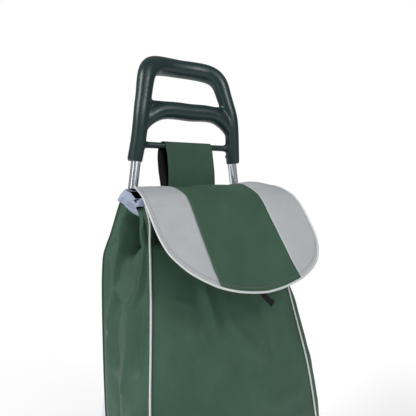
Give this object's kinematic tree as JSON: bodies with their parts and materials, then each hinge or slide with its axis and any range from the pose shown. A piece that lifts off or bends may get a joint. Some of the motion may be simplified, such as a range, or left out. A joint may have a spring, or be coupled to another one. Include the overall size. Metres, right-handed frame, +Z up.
{
  "type": "shopping trolley bag",
  "caption": "Two-wheeled shopping trolley: tube frame with double-loop handle, front stand, and a sewn bag with striped front flap and pale collar.",
  "frame": {"origin": "on the floor, under the middle of the whole trolley's box", "axes": "+Z up, the bag and its flap face -Y, +X to the right seen from the front"},
  "size_m": [0.51, 0.3396, 0.931],
  "materials": {
    "green_plastic": "moulded, semi-gloss",
    "chrome_tube": "polished plate",
    "zinc_steel": "zinc plated",
    "bright_cap": "bright plated",
    "black_plastic": "moulded",
    "tyre_rubber": "moulded rubber",
    "foot_rubber": "moulded rubber",
    "green_canvas": "woven polyester",
    "grey_canvas": "woven polyester",
    "pale_hem": "coated nylon",
    "pale_piping": "corded edging",
    "black_webbing": "woven webbing",
    "grey_board": "sheet"
  },
  "bodies": {
    "frame": {"axle": "zinc_steel", "axle_cap_left": "bright_cap", "axle_cap_right": "bright_cap", "bag_bottom_panel": "green_canvas", "bag_front_panel": "green_canvas", "bag_gusset_left": "green_canvas", "bag_gusset_right": "green_canvas", "bag_rear_panel": "green_canvas", "base_board": "grey_board", "collar": "pale_hem", "crossbar_lower": "chrome_tube", "crossbar_middle": "chrome_tube", "crossbar_upper": "chrome_tube", "flap_rear_strip": "green_canvas", "foot_left": "foot_rubber", "foot_right": "foot_rubber", "front_stand": "chrome_tube", "handle": "green_plastic", "handle_screws": "zinc_steel", "hanging_loop": "green_canvas", "inner_washers": "zinc_steel", "lower_strap_left": "black_webbing", "lower_strap_right": "black_webbing", "outer_washers": "zinc_steel", "piping_left": "pale_piping", "piping_right": "pale_piping", "press_studs": "bright_cap", "shelf_frame": "chrome_tube", "shelf_wires": "chrome_tube", "upright_left": "chrome_tube", "upright_plugs": "black_plastic", "upright_right": "chrome_tube"},
    "left_wheel": {"tyre_left": "tyre_rubber", "wheel_left": "black_plastic"},
    "right_wheel": {"tyre_right": "tyre_rubber", "wheel_right": "black_plastic"},
    "flap": {"flap_left": "grey_canvas", "flap_centre": "green_canvas", "flap_right": "grey_canvas", "flap_piping": "pale_piping", "flap_tab": "black_webbing"}
  },
  "joints": [
    {"name": "left_wheel_spin", "type": "hinge", "parent": "frame", "child": "left_wheel", "pos_m": [-0.22613, 0.09084, 0.08], "axis": [1, 0, 0], "continuous": true},
    {"name": "right_wheel_spin", "type": "hinge", "parent": "frame", "child": "right_wheel", "pos_m": [0.22613, 0.09084, 0.08], "axis": [1, 0, 0], "continuous": true},
    {"name": "flap_open", "type": "hinge", "parent": "frame", "child": "flap", "pos_m": [0, 0.05884, 0.6795], "axis": [-1, 0, 0], "range_deg": [0, 95]}
  ]
}
